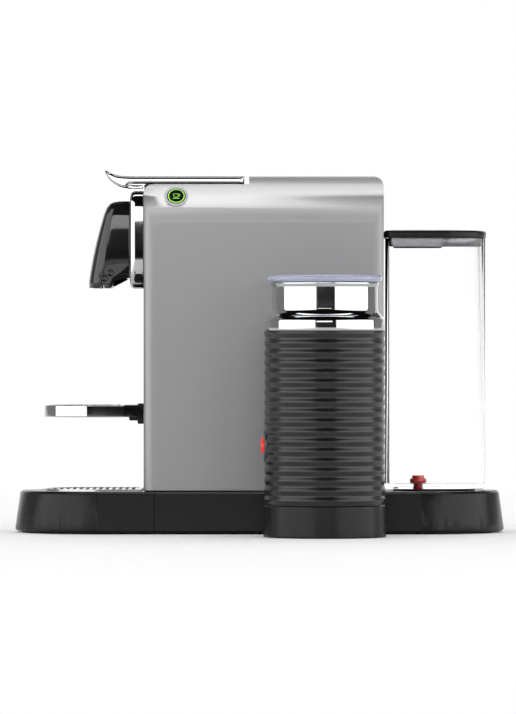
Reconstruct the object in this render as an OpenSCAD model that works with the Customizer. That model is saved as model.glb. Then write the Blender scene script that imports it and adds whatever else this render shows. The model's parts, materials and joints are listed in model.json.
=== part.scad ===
// Pod coffee machine with a milk frother beside it, as an assembly of separate pieces.
// Millimetres, +Z up, front towards -X. The origin is under the middle of the whole
// footprint. The machine's own mid-plane and the frother's axis are set off from it in Y.

/* [Base] */
// Length of the base, front to back
base_l = 373.4; // [366:0.1:380]
// Width of the base
base_w = 130; // [128:1:134]
// Height of the base
base_h = 32; // [32:0.5:33]
// How much narrower each side of the base is at its top
base_taper = 3.8; // [3:0.1:5]
// Height of the rubber feet
foot_h = 1.2; // [1:0.1:1.6]

/* [Body] */
// Width of the silver body
body_w = 112; // [111:1:113]
// Height of the top of the body
body_top = 271.3; // [270.8:0.1:272]
// Radius of the long shoulder between each side and the top
shoulder_r = 36; // [35:0.5:37]
// Thickness of the panels
panel_t = 2.5; // [2:0.1:2.6]

/* [Lever] */
// How far the lever opens, in degrees
lever_open = 70; // [60:1:70]
// Width of the lever
lever_w = 70; // [68:1:70]
// How far the brewing carriage travels
carriage_travel = 24; // [20:1:24]

/* [Water tank] */
// Height of the rim of the tank
tank_rim_z = 224; // [215:0.5:230]
// Thickness of the tank's wall
tank_wall = 2.6; // [2.2:0.1:3]

/* [Frother] */
// Radius of the frother's sleeve
sleeve_r = 45.2; // [45:0.1:45.3]
// Number of ribs on the sleeve
rib_count = 17; // [12:1:22]
// Depth of the grooves between the ribs
rib_depth = 0.8; // [0.5:0.1:1.2]

/* [Hidden] */
$fn = 72;

// Where the two halves of the footprint stand
frother_offset = 126;
dock_low_r = 45.9;
dock_high_r = 45.1;
machine_y = (frother_offset + dock_low_r - base_w / 2) / 2;
frother_x = 48.5;
frother_y = machine_y - frother_offset;

// Base
end_r = base_w / 2;
end_x = base_l / 2 - end_r;
top_r = end_r - base_taper;
base_wall = 3;
edge_c = 1.6;
seam_x = -79.5;

// Body
half_w = body_w / 2;
front_x = -87.8;
rear_x = 94;
body_z = base_h + 1;
recess_x = -7.9;
recess_z = body_top - 6.5;
recess_r = 7;
corner_r = 7;
shoulder_z = body_top - shoulder_r;
shoulder_y = half_w - shoulder_r;

// Brewing axis and the lever's shaft
brew_z = 222;
lever_x = -34;
lever_z = 258;
lever_shaft_r = 3.5;
lever_bottom = recess_z + 0.4;
lever_top = lever_bottom + 5.8;
pin_x = -60;
pin_r = 2;
cheek_y = 25;
cheek_t = 4;
cam_y = 31;
cam_t = 3;
cam_band = 5;

// Cup rest hinge
rest_x = -93.7;
rest_z = 92.6;
rest_r = 38;
rest_low = 88.1;
rest_high = 97.1;

// Frother
dock_h = 23.8;
sleeve_z = dock_h + 0.1;
sleeve_top = 153.6;
jug_r = 41;
jug_wall = 1.5;
jug_floor = 80;
neck_r = 39.6;
lid_r = 42.9;
lid_t = 5.2;
neck_top = 189.6;
frother_button_z = 68.2;

// Tank
tank_x0 = 95.1;
tank_x1 = 172;
tank_half = 47;
tank_z = 33.8;
tank_floor = 4;
valve_x = 121.2;
lid_step = tank_rim_z + 3.7;

// Flow meter
meter_x = 76;
meter_y = 37;

// Places of the buttons on the shoulders
button_x = -63;
button_tilt = 34.3;
bezel_r = 8.85;
cap_r = 6.9;

// ---------- helpers ----------

module at_machine() {
    translate([0, machine_y, 0]) children();
}

module at_frother() {
    translate([frother_x, frother_y, 0]) children();
}

module block(x0, x1, y0, y1, z0, z1) {
    translate([x0, y0, z0]) cube([x1 - x0, y1 - y0, z1 - z0]);
}

// Block that is the same on both sides of the machine's mid-plane
module mid_block(x0, x1, half, z0, z1) {
    block(x0, x1, -half, half, z0, z1);
}

module rod_x(x0, x1, y, z, r) {
    translate([x0, y, z]) rotate([0, 90, 0]) cylinder(h = x1 - x0, r = r);
}

module rod_y(x, y0, y1, z, r) {
    translate([x, y1, z]) rotate([90, 0, 0]) cylinder(h = y1 - y0, r = r);
}

module rod_z(x, y, z0, z1, r) {
    translate([x, y, z0]) cylinder(h = z1 - z0, r = r);
}

// Outline in X and Z, made into a plate from y0 to y1
module side_plate(y0, y1) {
    translate([0, y1, 0]) rotate([90, 0, 0]) linear_extrude(y1 - y0) children();
}

// Outline in Y and Z, made into a bar from x0 to x1
module section_bar(x0, x1) {
    translate([x0, 0, 0]) rotate([90, 0, 90]) linear_extrude(x1 - x0) children();
}

// Outline in X and Y, made into a plate from z0 to z1
module plan_plate(z0, z1) {
    translate([0, 0, z0]) linear_extrude(z1 - z0) children();
}

module round_rect(x0, x1, y0, y1, r) {
    translate([x0 + r, y0]) square([x1 - x0 - 2 * r, y1 - y0]);
    translate([x0, y0 + r]) square([x1 - x0, y1 - y0 - 2 * r]);
    for (x = [x0 + r, x1 - r], y = [y0 + r, y1 - r]) translate([x, y]) circle(r);
}

module ring_z(z0, z1, r_in, r_out) {
    translate([0, 0, z0]) difference() {
        cylinder(h = z1 - z0, r = r_out);
        translate([0, 0, -1]) cylinder(h = z1 - z0 + 2, r = r_in);
    }
}

// Both sides of the mid-plane
module both_sides() {
    children();
    mirror([0, 1, 0]) children();
}

// Half outline of a tapered round end: r0 at z0, r1 at z1, with bevelled edges
function end_profile(r0, r1, z0, z1, c) =
    [[0, z0], [r0 - c, z0], [r0, z0 + c], [r1, z1 - c], [r1 - c, z1], [0, z1]];

// Long block with round ends at xa and xb and tapered sides
module stadium(xa, xb, r0, r1, z0, z1, c) {
    half = end_profile(r0, r1, z0, z1, c);
    section_bar(xa, xb) union() {
        polygon(half);
        mirror([1, 0]) polygon(half);
    }
    translate([xb, 0, 0]) rotate([0, 0, -90]) rotate_extrude(angle = 180) polygon(half);
    translate([xa, 0, 0]) rotate([0, 0, 90]) rotate_extrude(angle = 180) polygon(half);
}

// Outside of the whole base, and its hollow
module base_outside() {
    stadium(-end_x, end_x, end_r, top_r, foot_h, base_h, edge_c);
}

module base_hollow(top) {
    stadium(-end_x, end_x, end_r - base_wall, top_r - base_wall, foot_h - 1, top, 0.5);
}

// ---------- base ----------

boss_x = [-55, 20, 95, 150];

module base_bosses(r) {
    for (x = boss_x) both_sides() rod_z(x, 42, 3.2, base_h - base_wall + 0.5, r);
}

module base_housing() {
    color("#1c1c1e") at_machine() difference() {
        union() {
            difference() {
                base_outside();
                base_hollow(base_h - base_wall);
            }
            intersection() {
                base_bosses(4);
                base_outside();
            }
            mid_block(seam_x + 0.2, seam_x + 3, end_r - 5, 3.2, base_h - 1);
        }
        // front part belongs to the tray
        mid_block(-200, seam_x + 0.2, 100, -1, 100);
        // slot for the tray's tongue
        mid_block(seam_x - 1, seam_x + 4, 31, 19, 25);
        // way through for the water pipe
        rod_z(meter_x, meter_y, base_h - 5, base_h + 1, 5);
        // water socket under the tank
        rod_z(valve_x, 0, base_h - 5, base_h + 1, 9);
        // slot for the tongue of the frother's dock
        block(frother_x - 12.2, frother_x + 12.2, -70, -57, 4.8, 15.2);
        // holes for screws
        for (x = boss_x) both_sides() rod_z(x, 42, 0, 16, 1.5);
        // mains lead on the far side
        rod_y(60, 50, 70, 14, 7);
    }
}

module base_plate() {
    color("#232326") at_machine() difference() {
        intersection() {
            stadium(-end_x, end_x, end_r - 3.4, end_r - 3.65, foot_h, 3.2, 0.1);
            mid_block(seam_x + 3.2, 200, 100, 0, 10);
        }
        for (x = boss_x) both_sides() rod_z(x, 42, 0, 16, 1.6);
        for (x = boss_x) both_sides() rod_z(x, 42, 0, 2, 3.2);
    }
}

module base_feet() {
    color("#101010") at_machine() {
        for (x = [-66, 75, 125]) both_sides() rod_z(x, 38, 0, foot_h, 7);
        rod_z(170, 0, 0, foot_h, 7);
    }
}

module base_screws() {
    color("#9a9a9a") at_machine() for (x = boss_x) both_sides() union() {
        rod_z(x, 42, 1.3, 2, 3);
        rod_z(x, 42, 1.9, 14, 1.5);
    }
}

module cord_gland() {
    color("#141414") at_machine() difference() {
        union() {
            rod_y(60, 52, 64.6, 14, 6.9);
            rod_y(60, 54, 57, 14, 9);
        }
        rod_y(60, 50, 70, 14, 3.6);
    }
}

// ---------- tray and bin that slide out ----------

grid_r = 43.5;
grid_x = -end_x;
grid_rear = -89.4;
grid_low = 28.5;
grid_high = base_h + 1.4;

// Outline of the drip grid: a round front and a straight back edge, drawn out by extra
module grid_outline(extra) {
    r = grid_r + extra;
    difference() {
        union() {
            translate([grid_x, 0]) circle(r);
            translate([grid_x, -r]) square([grid_r, 2 * r]);
        }
        translate([grid_rear + extra, -100]) square([100, 200]);
    }
}

module tray_shell() {
    color("#1c1c1e") at_machine() difference() {
        union() {
            difference() {
                intersection() {
                    base_outside();
                    mid_block(-200, seam_x - 0.2, 100, 0, 50);
                }
                intersection() {
                    base_hollow(base_h - base_wall);
                    mid_block(-200, seam_x - 3.2, 100, 0, 50);
                }
            }
            plan_plate(4, base_h - 2.9) grid_outline(2);
            mid_block(seam_x - 1, -14, 30, 20, 24);
        }
        plan_plate(grid_low, base_h + 1) grid_outline(0.5);
        plan_plate(6, base_h) grid_outline(-2.5);
    }
}

module tray_feet() {
    color("#101010") at_machine() {
        both_sides() rod_z(-100, 30, 0, 4, 6);
        rod_z(-150, 0, 0, 4, 6);
    }
}

module drip_grid() {
    slat = 2.6;
    pitch = 5;
    color("#b9babc") at_machine() union() {
        plan_plate(grid_low, grid_high) difference() {
            grid_outline(0);
            grid_outline(-3);
        }
        intersection() {
            plan_plate(grid_low + 1, grid_high - 0.4) grid_outline(-2);
            for (x = [grid_x - grid_r + pitch : pitch : grid_rear - 2])
                mid_block(x, x + slat, 60, 0, 60);
        }
        intersection() {
            plan_plate(grid_low, grid_low + 2) grid_outline(-2);
            for (y = [-20, 0, 20]) block(-200, 0, y - 1.5, y + 1.5, 0, 60);
        }
    }
}

bin_x0 = front_x + 3.8;
bin_x1 = -14;
bin_half = 41;
bin_top = 150;

module capsule_bin() {
    color("#2a2a2c") at_machine() difference() {
        plan_plate(base_h + 1.2, bin_top) round_rect(bin_x0, bin_x1, -bin_half, bin_half, 4);
        plan_plate(base_h + 3.4, bin_top + 1)
            round_rect(bin_x0 + 2, bin_x1 - 2, -bin_half + 2, bin_half - 2, 2);
    }
}

module bin_fascia() {
    color("#161618") at_machine()
        section_bar(front_x + 0.5, bin_x0) round_rect(-49.3, 49.3, base_h, 183, 2);
}

module cup_rest_bracket() {
    lug_y = 14;
    color("#141414") at_machine() difference() {
        union() {
            side_plate(-lug_y, lug_y) round_rect(rest_x + 0.7, front_x + 0.5, 82.8, 98.3, 1);
            rod_y(rest_x, -lug_y, lug_y, rest_z, 4.6);
            side_plate(-lug_y, lug_y) round_rect(-99.5, rest_x + 2, 85.3, rest_z - 0.5, 1.5);
        }
        rod_y(rest_x, -lug_y - 1, lug_y + 1, rest_z, 2);
    }
}

module cup_rest_pin() {
    color("#c8c8c8") at_machine() rod_y(rest_x, -23, 23, rest_z, 2);
}

// Outline of the cup rest: a round front with straight sides back to the hinge
module rest_outline(extra) {
    cx = rest_x - 71.1 + rest_r;
    translate([cx, 0]) circle(rest_r + extra);
    translate([cx, -rest_r - extra]) square([-103 - cx + extra, 2 * (rest_r + extra)]);
    translate([-104 + extra, -24]) square([104 + rest_x, 48]);
}

module cup_rest_frame() {
    color("#d8d9db") at_machine() difference() {
        union() {
            difference() {
                plan_plate(rest_low, rest_high) rest_outline(0);
                plan_plate(rest_high - 3.2, rest_high + 1) difference() {
                    rest_outline(-3.5);
                    translate([-108, -60]) square([40, 120]);
                }
                plan_plate(rest_low - 1, rest_high) difference() {
                    rest_outline(-7);
                    translate([-112, -60]) square([40, 120]);
                }
            }
            rod_y(rest_x, -24, 24, rest_z, 4.5);
        }
        rod_y(rest_x, -30, 30, rest_z, 2.08);
        mid_block(-102, -80, 14.4, 80, 110);
    }
}

module cup_rest_grid() {
    color("#3a3b3d") at_machine() union() {
        plan_plate(rest_high - 3.2, rest_high - 0.2) difference() {
            rest_outline(-3.8);
            rest_outline(-9);
            translate([-108.3, -60]) square([40, 120]);
        }
        plan_plate(rest_high - 2.6, rest_high - 0.2) intersection() {
            difference() {
                rest_outline(-3.8);
                translate([-108.3, -60]) square([40, 120]);
            }
            union() {
                for (y = [-30 : 6 : 30]) translate([-200, y - 1.2]) square([200, 2.4]);
                for (x = [-150, -130]) translate([x - 1, -60]) square([2, 120]);
                translate([-112, -60]) square([3.7, 120]);
            }
        }
    }
}

// ---------- silver body ----------

// Side view of the body, with the step down to the lever's recess
module side_outline(i, low, recess) {
    top = body_top - i;
    r = recess_r;
    translate([front_x + i, low]) square([rear_x - front_x - 2 * i, recess - r - low]);
    translate([front_x + r, low]) square([rear_x - front_x - r - i, recess - low]);
    translate([front_x + r, recess - r]) circle(r - i);
    translate([recess_x + i, low]) square([rear_x - recess_x - 2 * i, top - 8 - low]);
    translate([recess_x + i, low]) square([rear_x - recess_x - 8 - i, top - low]);
    translate([rear_x - 8, top - 8 + i]) circle(8 - i);
}

// End view of the body, with its round shoulders, drawn in by i
module body_section(i, low) {
    translate([-half_w + i, low]) square([2 * (half_w - i), shoulder_z - low]);
    translate([-shoulder_y, low]) square([2 * shoulder_y, body_top - i - low]);
    for (s = [-1, 1]) translate([s * shoulder_y, shoulder_z]) circle(shoulder_r - i);
}

// Whole body as one block, drawn in by i all round
module body_block(i, low, recess) {
    intersection() {
        section_bar(front_x + i, rear_x - i) body_section(i, low);
        side_plate(-half_w, half_w) side_outline(i, low, recess);
        plan_plate(low, body_top + 1)
            round_rect(front_x + i, rear_x - i, -half_w + i, half_w - i, corner_r - i);
    }
}

cover_half = 19.9;
spine_inset = 8.3;
front_inset = 6.3;

module body_shell() {
    difference() {
        body_block(0, body_z, recess_z);
        body_block(panel_t, body_z - 2, recess_z);
        // open front, between the panels' front edges
        section_bar(front_x - 1, front_x + 8) body_section(front_inset, 0);
        // open recess under the lever
        mid_block(front_x - 1, recess_x, 35.9, recess_z - 12, 300);
        // open back, where the spine stands
        section_bar(rear_x - 8, rear_x + 1) body_section(spine_inset, 0);
    }
}

module at_button(side) {
    translate([
        button_x,
        -side * (shoulder_y + shoulder_r * cos(button_tilt)),
        shoulder_z + shoulder_r * sin(button_tilt)
    ]) rotate([side * (90 - button_tilt), 0, 0]) children();
}

module panel_near(side) {
    difference() {
        intersection() {
            body_shell();
            if (side > 0) block(-100, 100, -100, -cover_half - 0.1, 0, 300);
            else block(-100, 100, cover_half + 0.1, 100, 0, 300);
        }
        at_button(side) translate([0, 0, -8]) cylinder(h = 12, r = bezel_r + 0.1);
    }
}

module side_panel_left() {
    color("#a9abad") at_machine() panel_near(1);
}

module side_panel_right() {
    color("#a9abad") at_machine() panel_near(-1);
}

module top_cover() {
    color("#a9abad") at_machine() union() {
        intersection() {
            body_shell();
            mid_block(recess_x, 100, cover_half, 0, 300);
        }
        mid_block(recess_x, recess_x + panel_t, cover_half, 256, body_top - 1);
        mid_block(recess_x, recess_x + panel_t, 35, 256, recess_z - 0.1);
    }
}

module rear_spine() {
    color("#161618") at_machine()
        section_bar(rear_x - 2.4, rear_x) body_section(spine_inset + 0.2, body_z);
}

module chassis() {
    color("#3b3c3e") at_machine() difference() {
        union() {
            mid_block(-8, 91, 50, base_h, 35);
            mid_block(-8, -5, 50, 35, 186);
            mid_block(8, 90, 48, 118, 121);
            both_sides() block(-8, 91.4, 47, 50, 35, 200);
            both_sides() block(-84, -5, 46.5, 50, 186, 197);
            mid_block(88.4, 91.4, 47.4, 35, 200);
            both_sides() for (x = [2, 84], z = [60, 190])
                rod_y(x, 49, half_w - panel_t, z, 4);
        }
        both_sides() block(10, 78, 40, 51, 130, 184);
        block(10, 78, 46, 51, 50, 105);
        mid_block(80, 100, 30, 130, 180);
        rod_z(meter_x, meter_y, 0, 50, 5);
    }
}

module top_deck() {
    color("#1a1a1c") at_machine() difference() {
        mid_block(front_x + 0.2, -40.5, 30.2, 262, recess_z - 0.2);
        mid_block(-84, -62, 19, 250, 300);
    }
}

// ---------- brewing head ----------

collar_x = -98.3;
collar_low = 185.4;
collar_top = 259.6;
frame_x = front_x + 0.2;

module front_collar() {
    color("#d6d7d9") at_machine() difference() {
        union() {
            intersection() {
                side_plate(-49.5, 49.5) union() {
                    round_rect(collar_x, front_x - 0.1, collar_low, collar_top, 4);
                    translate([front_x - 6, collar_low])
                        square([5.9, collar_top - collar_low]);
                }
                plan_plate(180, 270)
                    round_rect(collar_x, front_x + 20, -49.5, 49.5, 5);
                section_bar(-110, -80)
                    round_rect(-49.5, 49.5, collar_low, collar_top, 10);
            }
            mid_block(front_x - 1, frame_x, 40, 200, 250);
        }
        rod_x(-120, -80, 0, brew_z, 24);
        both_sides() block(-94.9, front_x - 0.6, 48, 60, 190, 199.6);
    }
}

// Slices of the head cover: height, front edge, half width, and how deep its corners are
head_slices = [
    [186.2, -130.1, 33.6, 20], [190, -130.6, 34, 20], [196.4, -129.8, 34, 19],
    [207.9, -127.8, 34, 18], [219.3, -125.4, 34, 16], [230.8, -122.5, 34, 14],
    [242.3, -119.2, 33.8, 12], [247.4, -117.3, 33.3, 11], [250.2, -115.3, 32.2, 10],
    [251.6, -113.2, 30.6, 8.5], [252.1, -110.2, 28.6, 6.5]
];
head_steps = 24;
head_square = 0.5;

// Plan of one slice, drawn in by i: flat sides, and a front that curves back at its corners
module head_plan(s, i) {
    side_x = s[1] + s[3];
    polygon([
        [-90, -s[2] + i],
        for (k = [0 : head_steps])
            let (t = -90 + 180 * k / head_steps, c = pow(abs(cos(t)), head_square))
            [side_x - (s[3] - i) * c, sign(t) * (s[2] - i) * pow(abs(sin(t)), head_square)],
        [-90, s[2] - i]
    ]);
}

module head_form(i) {
    hull() for (s = head_slices)
        translate([0, 0, s[0] > 246 ? s[0] - i : s[0]]) linear_extrude(0.1) head_plan(s, i);
}

head_wall = 2.5;

module head_cover() {
    color("#0c0c0d") at_machine() difference() {
        head_form(0);
        difference() {
            head_form(head_wall);
            mid_block(-140, -80, 60, 180, 186.2 + head_wall);
        }
        mid_block(collar_x - 0.1, -80, 60, 100, 300);
        side_plate(-60, 60) polygon([
            [-113, 180], [-113, 188], [-109.5, 191], [-104, 192.8], [-90, 193.6], [-90, 180]
        ]);
        rod_z(outlet_x, 0, 180, 200, 5);
        // two dimples low on each side
        for (p = [[-118, 193.6], [-113.4, 197.6]]) both_sides() rod_y(p[0], 33, 40, p[1], 2.4);
    }
}

outlet_x = -115.4;

module coffee_outlet() {
    color("#2b2b2d") at_machine() difference() {
        union() {
            translate([outlet_x, 0, 0]) rotate_extrude() polygon([
                [0, 186.2], [3.4, 186.2], [4.2, 191], [7.6, 197], [7.6, 212], [0, 212]
            ]);
            rod_x(outlet_x, collar_x + 0.3, 0, 206, 6.5);
        }
        translate([outlet_x, 0, 0]) rotate_extrude() polygon([
            [0, 180], [2.2, 180], [2.2, 192], [5.6, 198], [5.6, 210], [0, 210]
        ]);
        rod_x(outlet_x, -90, 0, 206, 4.5);
    }
}

module pierce_plate() {
    color("#c4c5c7") at_machine() difference() {
        rod_x(collar_x + 0.4, collar_x + 3.4, 0, brew_z, 23.9);
        for (y = [-12 : 6 : 12], z = [-12 : 6 : 12]) rod_x(-110, -90, y, brew_z + z, 1);
    }
}

module brew_frame() {
    low = 197;
    color("#4a4b4e") at_machine() difference() {
        union() {
            both_sides() side_plate(cheek_y, cheek_y + cheek_t) union() {
                polygon([
                    [frame_x, low], [-14, low], [-14, 230], [lever_x + 6.5, 238],
                    [lever_x + 6.5, lever_z], [-41, 262], [frame_x, 262]
                ]);
                translate([lever_x, lever_z]) circle(6.6);
            }
            intersection() {
                mid_block(frame_x, frame_x + 3, 46.5, low, 262);
                section_bar(-100, 0) body_section(front_inset + 0.3, 0);
            }
            mid_block(-40, -14, 46.5, low - 7, low);
        }
        rod_x(-100, -80, 0, brew_z, 21.2);
        rod_y(lever_x, -60, 60, lever_z, lever_shaft_r + 0.05);
        both_sides() side_plate(20, 40) union() {
            translate([pin_x, brew_z - 2.3]) square([carriage_travel, 4.6]);
            for (x = [pin_x, pin_x + carriage_travel]) translate([x, brew_z]) circle(2.3);
        }
    }
}

module brew_carriage() {
    color("#6b6c70") at_machine() difference() {
        union() {
            mid_block(-64, -52, 24.5, 206, 238);
            rod_x(-64, -50, 0, brew_z, 18);
        }
        rod_y(pin_x, -40, 40, brew_z, pin_r + 0.05);
    }
}

module capsule_cage() {
    color("#d0d1d3") at_machine() difference() {
        rod_x(-92, -64, 0, brew_z, 20.8);
        rod_x(-100, -67, 0, brew_z, 18.4);
        for (a = [0 : 60 : 300]) translate([0, 0, brew_z]) rotate([a, 0, 0])
            rod_x(-92.5, -88, 19.6, 0, 1.6);
    }
}

module carriage_pin() {
    color("#c8c8c8") at_machine() rod_y(pin_x, -35, 35, brew_z, pin_r);
}

// ---------- lever ----------

module lever_shaft() {
    color("#c8c8c8") at_machine() rod_y(lever_x, -35, 35, lever_z, lever_shaft_r);
}

module lever_handle() {
    tip_x = -117.8;
    color("#e2e3e5") at_machine() intersection() {
        side_plate(-lever_w / 2, lever_w / 2) polygon([
            [-11.6, lever_bottom], [-11.6, lever_top], [-107, lever_top],
            [-111, lever_top + 0.8], [-114, lever_top + 2.5], [tip_x + 0.8, 276.2],
            [tip_x, 275.7], [-115.6, 271.4], [-113.2, 267.8], [-110.5, lever_bottom + 0.5],
            [-107, lever_bottom]
        ]);
        plan_plate(250, 290) union() {
            round_rect(tip_x - 0.2, -11.6, -lever_w / 2, lever_w / 2, 10);
            translate([-60, -lever_w / 2]) square([48.4, lever_w]);
        }
    }
}

module lever_underside() {
    color("#c0c1c3") at_machine() side_plate(-30, 30) polygon([
        [-108, lever_bottom], [-104, 262.9], [-99, 261.5], [-88.4, 261.3], [-88.4, lever_bottom]
    ]);
}

// Where the carriage pin sits on the cam when the lever is open by t degrees, seen on
// the closed lever and measured from its shaft
function cam_point(t) =
    let (x = pin_x + carriage_travel * t / lever_open - lever_x, z = brew_z - lever_z)
    [x * cos(t) - z * sin(t), x * sin(t) + z * cos(t)];

// The same point, drawn out from the shaft by d
function cam_offset(t, d) = let (p = cam_point(t)) p * (1 + d / norm(p));

cam_steps = 14;
cam_turns = [for (i = [0 : cam_steps]) i * lever_open / cam_steps];

module cam_track(d) {
    polygon([
        for (t = cam_turns) cam_offset(t, d),
        for (i = [cam_steps : -1 : 0]) cam_offset(cam_turns[i], -d)
    ]);
    for (t = [0, lever_open]) translate(cam_point(t)) circle(d);
}

module cam_outline() {
    difference() {
        union() {
            translate([lever_x, lever_z]) union() {
                cam_track(cam_band);
                polygon([
                    [-8, 0], for (t = cam_turns) cam_point(t), [8, 2]
                ]);
                circle(6.8);
            }
            translate([-80, 260]) square([80 - 16, lever_bottom - 260]);
            polygon([
                [-62, 261], [lever_x - 6, lever_z - 12], [lever_x + 8, lever_z], [-20, 261]
            ]);
        }
        translate([lever_x, lever_z]) cam_track(pin_r + 0.3);
        translate([lever_x, lever_z]) circle(lever_shaft_r + 0.06);
    }
}

module lever_cams() {
    color("#8e9093") at_machine() both_sides() side_plate(cam_y, cam_y + cam_t) cam_outline();
}

// ---------- buttons ----------

module button_bezels() {
    color("#8a8c8f") at_machine() for (side = [1, -1]) at_button(side)
        ring_z(-5, 0.5, cap_r + 0.2, bezel_r);
}

module button_cap(side) {
    at_button(side) union() {
        difference() {
            translate([0, 0, -4]) cylinder(h = 4.2, r = cap_r);
            ring_z(-1.2, 1, 4.5, 5.9);
        }
        translate([0, 0, -9]) cylinder(h = 6, r = 2.5);
    }
}

module button_ring(side) {
    at_button(side) ring_z(-1.2, 0.3, 4.6, 5.8);
}

module espresso_button() {
    color("#151515") at_machine() button_cap(1);
}

module espresso_ring() {
    color("#5ee23c") at_machine() button_ring(1);
}

module lungo_button() {
    color("#151515") at_machine() button_cap(-1);
}

module lungo_ring() {
    color("#5ee23c") at_machine() button_ring(-1);
}

// ---------- water circuit ----------

pump_z = 62;

module pump() {
    color("#5c6066") at_machine() union() {
        rod_x(8, 80, 0, pump_z, 14);
        mid_block(22, 56, 23, 38, 86);
    }
}

module pump_mounts() {
    color("#1b1b1b") at_machine() for (x = [11, 63]) difference() {
        rod_x(x, x + 6, 0, pump_z, pump_z - 35);
        rod_x(x - 1, x + 7, 0, pump_z, 14.05);
    }
}

module thermoblock() {
    color("#aeb0b3") at_machine() union() {
        mid_block(14, 80, 30, 121, 158);
        for (x = [16 : 8 : 76]) mid_block(x, x + 3, 28, 158, 172);
        rod_x(8, 14, 0, 145, 5);
        rod_x(8, 14, 20, 145, 5);
    }
}

module flow_meter() {
    color("#d9d6c8") at_machine() union() {
        rod_z(meter_x, meter_y, 35, 49, 9);
        rod_z(meter_x, meter_y, 49, 53, 4);
    }
}

// Straight tube from a to b, with a round joint at b
module tube(a, b, r) {
    v = b - a;
    length = norm(v);
    translate(a) rotate([0, acos(v[2] / length), atan2(v[1], v[0])])
        cylinder(h = length, r = r);
}

module pipe(points, r) {
    for (i = [1 : len(points) - 1]) tube(points[i - 1], points[i], r);
    for (i = [1 : len(points) - 2]) translate(points[i]) sphere(r);
}

module water_hoses() {
    r = 2.8;
    color("#e4e2da") at_machine() {
        // from the tank's socket to the flow meter
        pipe([
            [valve_x, 0, 19.8], [valve_x, 0, 12], [meter_x, 0, 12],
            [meter_x, meter_y, 12], [meter_x, meter_y, 34.9]
        ], r);
        // from the flow meter to the pump
        pipe([
            [meter_x, meter_y, 53.1], [meter_x, meter_y, pump_z],
            [84, meter_y, pump_z], [84, 0, pump_z], [80.1, 0, pump_z]
        ], r);
        // from the pump up to the thermoblock
        pipe([[7.9, 0, pump_z], [0, 0, pump_z], [0, 0, 145], [7.9, 0, 145]], r);
        // from the thermoblock to the brewing frame
        pipe([[7.9, 20, 145], [0, 20, 145], [0, 20, 193.5], [-13.9, 20, 193.5]], r);
    }
}

module control_board() {
    color("#2c6b3f") at_machine() union() {
        block(14, 84, -44, -42.4, 60, 112);
        for (x = [18, 80], z = [64, 108]) rod_y(x, -47, -44, z, 2.5);
        block(24, 44, -42.4, -32, 92, 108);
        block(52, 66, -42.4, -36, 94, 108);
        rod_y(74, -42.4, -34, 98, 5);
        block(60, 80, -42.4, -38, 66, 78);
    }
}

// ---------- water tank ----------

// Plan of the tank: flat towards the body, round at the back, grown by i
module tank_outline(i) {
    big = 34;
    small = 6;
    bx = tank_x1 - big;
    by = tank_half - big;
    sx = tank_x0 + small;
    sy = tank_half - small;
    translate([sx, -tank_half - i]) square([bx - sx, 2 * (tank_half + i)]);
    translate([tank_x0 - i, -sy]) square([bx - tank_x0 + i, 2 * sy]);
    translate([bx - 1, -by]) square([big + i + 1, 2 * by]);
    for (s = [-1, 1]) translate([bx, s * by]) circle(big + i);
    for (s = [-1, 1]) translate([sx, s * sy]) circle(small + i);
}

module tank_seat() {
    color("#151517") at_machine() difference() {
        union() {
            rod_z(valve_x, 0, 20, 33, 8.8);
            difference() {
                plan_plate(base_h, tank_z) round_rect(102, 164, -36, 36, 16);
                plan_plate(0, 100) round_rect(106, 160, -32, 32, 12);
            }
            translate([valve_x, 0, 0]) ring_z(base_h, tank_z - 0.6, 8, 15);
        }
        rod_z(valve_x, 0, 10, 40, 4.6);
    }
}

module tank_gasket() {
    color("#b33a2e") at_machine() translate([valve_x, 0, 0])
        ring_z(tank_z - 0.6, tank_z, 9, 12);
}

module tank_vessel() {
    color([0.9, 0.93, 0.95, 0.4]) at_machine() difference() {
        plan_plate(tank_z, tank_rim_z) tank_outline(0);
        plan_plate(tank_z + tank_floor, tank_rim_z + 1) tank_outline(-tank_wall);
        rod_z(valve_x, 0, 0, 60, 4);
    }
}

module tank_valve() {
    color("#c02a22") at_machine() union() {
        rod_z(valve_x, 0, tank_z + tank_floor + 0.05, 41, 6.2);
        rod_z(valve_x, 0, 41, 43.3, 4.6);
        rod_z(valve_x, 0, tank_z + 0.1, tank_z + tank_floor + 0.05, 3.7);
    }
}

module tank_lid() {
    color("#1c1d1f") at_machine() union() {
        plan_plate(tank_rim_z + 0.1, lid_step) tank_outline(0.8);
        plan_plate(lid_step, lid_step + 2.4) tank_outline(-0.8);
    }
}

module tank_lid_ring() {
    color("#8d8f92") at_machine() difference() {
        plan_plate(tank_rim_z - 6.7, tank_rim_z + 0.1) tank_outline(-tank_wall - 0.35);
        plan_plate(tank_rim_z - 8, 230) tank_outline(-tank_wall - 2.4);
    }
}

// ---------- frother ----------

module frother_dock() {
    wall = 2.5;
    low = dock_low_r;
    high = dock_high_r;
    side = frother_offset - base_w / 2;
    color("#1c1c1e") at_frother() union() {
        rotate_extrude() polygon([
            [0, 0], [low, 0], [low, 1.5], [high, dock_h - 1], [high - 1, dock_h], [0, dock_h],
            [0, dock_h - wall], [high - 3, dock_h - wall], [low - 3, wall], [0, wall]
        ]);
        // neck that joins it to the base
        difference() {
            side_plate(high - 1.6, side - 0.2) union() {
                translate([-22, 1.5]) square([44, 15]);
                translate([-20, 1.5]) square([40, 17]);
            }
            side_plate(0, side + 10) translate([-19.5, 0]) square([39, 16]);
        }
        // tongue that goes into the base's slot
        block(-12, 12, side - 4, side - 0.2, 5, 17);
        block(-12, 12, side - 4, side + 5, 5, 15);
    }
}

module dock_stator() {
    color("#8a5a2b") at_frother() ring_z(2.5, 18, 10, 28);
}

// Soft waves up the sleeve, ending on a crest that runs straight to the top edge
wave_top = 148;
wave_pitch = (wave_top - sleeve_z) / rib_count;
wave_steps = 6;

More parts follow.
